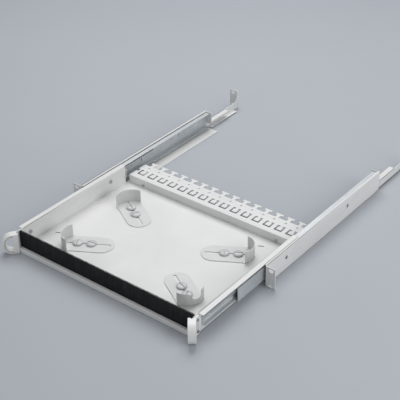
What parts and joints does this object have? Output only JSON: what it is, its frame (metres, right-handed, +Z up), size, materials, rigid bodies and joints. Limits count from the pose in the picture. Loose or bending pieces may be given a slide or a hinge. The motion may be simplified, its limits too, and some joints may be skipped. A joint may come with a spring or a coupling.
{
  "type": "pull-out fibre cable drawer",
  "caption": "Shallow rack drawer on telescopic slides for storing spare fibre cable, with radius guides, a slotted tie bar and a front brush strip.",
  "frame": {"origin": "middle of the four front rack slots, on the front plane of the rack flanges", "axes": "+X to the right seen from the front, +Y to the rear of the rack, +Z up"},
  "size_m": [0.4826, 0.7324, 0.0438],
  "materials": {
    "powder_coat": "fine satin powder coat",
    "zinc_slide": "blue zinc plated",
    "cage_steel": "dark rolled strip",
    "ball_steel": "polished ball steel",
    "bristles": "matt black filament",
    "moulded_plastic": "satin moulded",
    "guide_sheet": "satin coated sheet",
    "thumb_screw": "satin moulded",
    "screw_zinc": "zinc plated"
  },
  "bodies": {
    "chassis": {"rail_left": "powder_coat", "rail_right": "powder_coat", "slide_cabinet_left": "zinc_slide", "slide_cabinet_right": "zinc_slide", "rail_screws": "screw_zinc"},
    "drawer": {"tray": "powder_coat", "slide_drawer_left": "zinc_slide", "slide_drawer_right": "zinc_slide", "drawer_screws": "screw_zinc", "tie_bar": "powder_coat", "tie_bar_screws": "screw_zinc", "brush_holder": "powder_coat", "brush_bristles": "bristles", "handle_left": "moulded_plastic", "handle_right": "moulded_plastic", "handle_screws": "screw_zinc", "thumb_screws": "thumb_screw", "floor_nuts": "screw_zinc"},
    "middle_left": {"slide_middle_left": "zinc_slide"},
    "cage_outer_left": {"cage_outer_left": "cage_steel", "balls_outer_left": "ball_steel"},
    "cage_inner_left": {"cage_inner_left": "cage_steel", "balls_inner_left": "ball_steel"},
    "bracket_left": {"bracket_left": "powder_coat"},
    "middle_right": {"slide_middle_right": "zinc_slide"},
    "cage_outer_right": {"cage_outer_right": "cage_steel", "balls_outer_right": "ball_steel"},
    "cage_inner_right": {"cage_inner_right": "cage_steel", "balls_inner_right": "ball_steel"},
    "bracket_right": {"bracket_right": "powder_coat"},
    "guide_front_left": {"guide_front_left": "guide_sheet"},
    "guide_front_right": {"guide_front_right": "guide_sheet"},
    "guide_rear_left": {"guide_rear_left": "guide_sheet"},
    "guide_rear_right": {"guide_rear_right": "guide_sheet"}
  },
  "joints": [
    {"name": "drawer_slide", "type": "slide", "parent": "chassis", "child": "drawer", "axis": [0, -1, 0], "range_m": [-0.175, 0.125]},
    {"name": "middle_left_slide", "type": "slide", "parent": "chassis", "child": "middle_left", "axis": [0, -1, 0], "range_m": [-0.0875, 0.0625]},
    {"name": "cage_outer_left_slide", "type": "slide", "parent": "chassis", "child": "cage_outer_left", "axis": [0, -1, 0], "range_m": [-0.04375, 0.03125]},
    {"name": "cage_inner_left_slide", "type": "slide", "parent": "chassis", "child": "cage_inner_left", "axis": [0, -1, 0], "range_m": [-0.13125, 0.09375]},
    {"name": "bracket_left_slide", "type": "slide", "parent": "chassis", "child": "bracket_left", "axis": [0, 1, 0], "range_m": [0, 0.1]},
    {"name": "middle_right_slide", "type": "slide", "parent": "chassis", "child": "middle_right", "axis": [0, -1, 0], "range_m": [-0.0875, 0.0625]},
    {"name": "cage_outer_right_slide", "type": "slide", "parent": "chassis", "child": "cage_outer_right", "axis": [0, -1, 0], "range_m": [-0.04375, 0.03125]},
    {"name": "cage_inner_right_slide", "type": "slide", "parent": "chassis", "child": "cage_inner_right", "axis": [0, -1, 0], "range_m": [-0.13125, 0.09375]},
    {"name": "bracket_right_slide", "type": "slide", "parent": "chassis", "child": "bracket_right", "axis": [0, 1, 0], "range_m": [0, 0.1]},
    {"name": "guide_front_left_slide", "type": "slide", "parent": "drawer", "child": "guide_front_left", "axis": [-0.866, -0.5, 0], "range_m": [-0.018, 0.03]},
    {"name": "guide_front_right_slide", "type": "slide", "parent": "drawer", "child": "guide_front_right", "axis": [0.866, -0.5, 0], "range_m": [-0.018, 0.03]},
    {"name": "guide_rear_left_slide", "type": "slide", "parent": "drawer", "child": "guide_rear_left", "axis": [-0.866, 0.5, 0], "range_m": [-0.018, 0.03]},
    {"name": "guide_rear_right_slide", "type": "slide", "parent": "drawer", "child": "guide_rear_right", "axis": [0.866, 0.5, 0], "range_m": [-0.018, 0.03]}
  ],
  "couplings": [
    {"joint": "middle_left_slide", "follows": "drawer_slide", "ratio": 0.5},
    {"joint": "cage_outer_left_slide", "follows": "drawer_slide", "ratio": 0.25},
    {"joint": "cage_inner_left_slide", "follows": "drawer_slide", "ratio": 0.75},
    {"joint": "middle_right_slide", "follows": "drawer_slide", "ratio": 0.5},
    {"joint": "cage_outer_right_slide", "follows": "drawer_slide", "ratio": 0.25},
    {"joint": "cage_inner_right_slide", "follows": "drawer_slide", "ratio": 0.75}
  ]
}
